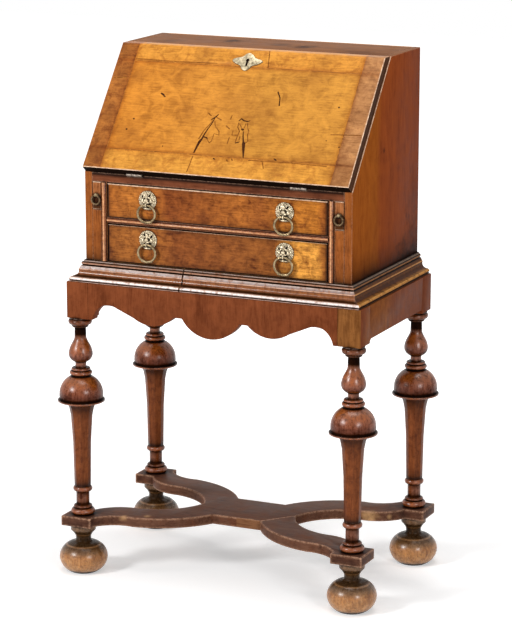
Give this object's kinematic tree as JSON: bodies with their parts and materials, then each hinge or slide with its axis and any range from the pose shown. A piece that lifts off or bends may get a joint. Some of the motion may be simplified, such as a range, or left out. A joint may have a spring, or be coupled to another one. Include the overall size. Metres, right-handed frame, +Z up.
{
  "type": "slant-front bureau on stand",
  "caption": "Walnut slant-front escritoire on a turned stand, with a hinged writing fall on pull-out lopers, ring-pull drawers and a serpentine stretcher on bun feet.",
  "frame": {"origin": "on the floor at the middle of the four legs", "axes": "+X to the right, +Y to the back, +Z up; the fall and the drawers face -Y"},
  "size_m": [0.6513, 0.4028, 1],
  "materials": {
    "walnut": "polished, worn at the arrises",
    "figured_walnut": "polished veneer with a crossbanded border",
    "oak": "dry, unpolished",
    "brass": "cast and aged",
    "steel": "dull"
  },
  "bodies": {
    "carcase": {"case_side_left": "walnut", "case_side_right": "walnut", "case_top": "walnut", "case_bottom": "oak", "case_back": "oak", "writing_bed": "oak", "hinge_rail": "walnut", "drawer_divider": "walnut", "drawer_runners": "oak", "loper_partitions": "walnut", "loper_guides": "walnut", "front_beads": "walnut", "case_moulding": "walnut", "stand_moulding": "walnut", "pigeonhole_shelf": "oak", "interior_partitions": "oak", "hinge_case_leaves": "brass", "hinge_pins": "steel", "lock_staple": "steel", "apron_front": "walnut", "apron_back": "oak", "side_aprons": "walnut", "corner_posts": "walnut", "case_bearers": "oak", "leg_front_left": "walnut", "leg_front_right": "walnut", "leg_back_left": "walnut", "leg_back_right": "walnut", "stretcher_centre": "walnut", "stretcher_arms": "walnut", "bun_feet": "walnut"},
    "fall": {"fall_board": "figured_walnut", "hinge_fall_leaves": "brass", "escutcheon": "brass", "lock_case": "steel"},
    "bolt": {"lock_bolt": "steel"},
    "upper_drawer": {"upper_drawer_front": "figured_walnut", "upper_drawer_box": "oak", "upper_drawer_bottom": "oak", "upper_drawer_masks": "brass"},
    "upper_ring_left": {"upper_ring_left": "brass"},
    "upper_ring_right": {"upper_ring_right": "brass"},
    "lower_drawer": {"lower_drawer_front": "figured_walnut", "lower_drawer_box": "oak", "lower_drawer_bottom": "oak", "lower_drawer_masks": "brass"},
    "lower_ring_left": {"lower_ring_left": "brass"},
    "lower_ring_right": {"lower_ring_right": "brass"},
    "loper_left": {"loper_left": "walnut", "loper_stud_left": "brass"},
    "loper_ring_left": {"loper_ring_left": "brass"},
    "loper_right": {"loper_right": "walnut", "loper_stud_right": "brass"},
    "loper_ring_right": {"loper_ring_right": "brass"},
    "small_drawer_1": {"small_drawer_1": "oak", "small_drawer_1_knob": "brass"},
    "small_drawer_2": {"small_drawer_2": "oak", "small_drawer_2_knob": "brass"},
    "small_drawer_3": {"small_drawer_3": "oak", "small_drawer_3_knob": "brass"}
  },
  "joints": [
    {"name": "fall_swing", "type": "hinge", "parent": "carcase", "child": "fall", "pos_m": [0, -0.1455, 0.777], "axis": [1, 0, 0], "range_deg": [0, 128.5]},
    {"name": "bolt_slide", "type": "slide", "parent": "fall", "child": "bolt", "axis": [1, 0, 0], "range_m": [0, 0.008]},
    {"name": "upper_drawer_slide", "type": "slide", "parent": "carcase", "child": "upper_drawer", "axis": [0, -1, 0], "range_m": [0, 0.23]},
    {"name": "upper_ring_left_swing", "type": "hinge", "parent": "upper_drawer", "child": "upper_ring_left", "pos_m": [-0.1385, -0.1525, 0.724], "axis": [-1, 0, 0], "range_deg": [0, 90]},
    {"name": "upper_ring_right_swing", "type": "hinge", "parent": "upper_drawer", "child": "upper_ring_right", "pos_m": [0.1385, -0.1525, 0.724], "axis": [-1, 0, 0], "range_deg": [0, 90]},
    {"name": "lower_drawer_slide", "type": "slide", "parent": "carcase", "child": "lower_drawer", "axis": [0, -1, 0], "range_m": [0, 0.23]},
    {"name": "lower_ring_left_swing", "type": "hinge", "parent": "lower_drawer", "child": "lower_ring_left", "pos_m": [-0.1385, -0.1525, 0.6495], "axis": [-1, 0, 0], "range_deg": [0, 90]},
    {"name": "lower_ring_right_swing", "type": "hinge", "parent": "lower_drawer", "child": "lower_ring_right", "pos_m": [0.1385, -0.1525, 0.6495], "axis": [-1, 0, 0], "range_deg": [0, 90]},
    {"name": "loper_left_slide", "type": "slide", "parent": "carcase", "child": "loper_left", "axis": [0, -1, 0], "range_m": [0, 0.2]},
    {"name": "loper_ring_left_swing", "type": "hinge", "parent": "loper_left", "child": "loper_ring_left", "pos_m": [-0.2453, -0.1504, 0.734], "axis": [-1, 0, 0], "range_deg": [0, 90]},
    {"name": "loper_right_slide", "type": "slide", "parent": "carcase", "child": "loper_right", "axis": [0, -1, 0], "range_m": [0, 0.2]},
    {"name": "loper_ring_right_swing", "type": "hinge", "parent": "loper_right", "child": "loper_ring_right", "pos_m": [0.2453, -0.1504, 0.734], "axis": [-1, 0, 0], "range_deg": [0, 90]},
    {"name": "small_drawer_1_slide", "type": "slide", "parent": "carcase", "child": "small_drawer_1", "axis": [0, -1, 0], "range_m": [0, 0.1]},
    {"name": "small_drawer_2_slide", "type": "slide", "parent": "carcase", "child": "small_drawer_2", "axis": [0, -1, 0], "range_m": [0, 0.1]},
    {"name": "small_drawer_3_slide", "type": "slide", "parent": "carcase", "child": "small_drawer_3", "axis": [0, -1, 0], "range_m": [0, 0.1]}
  ]
}
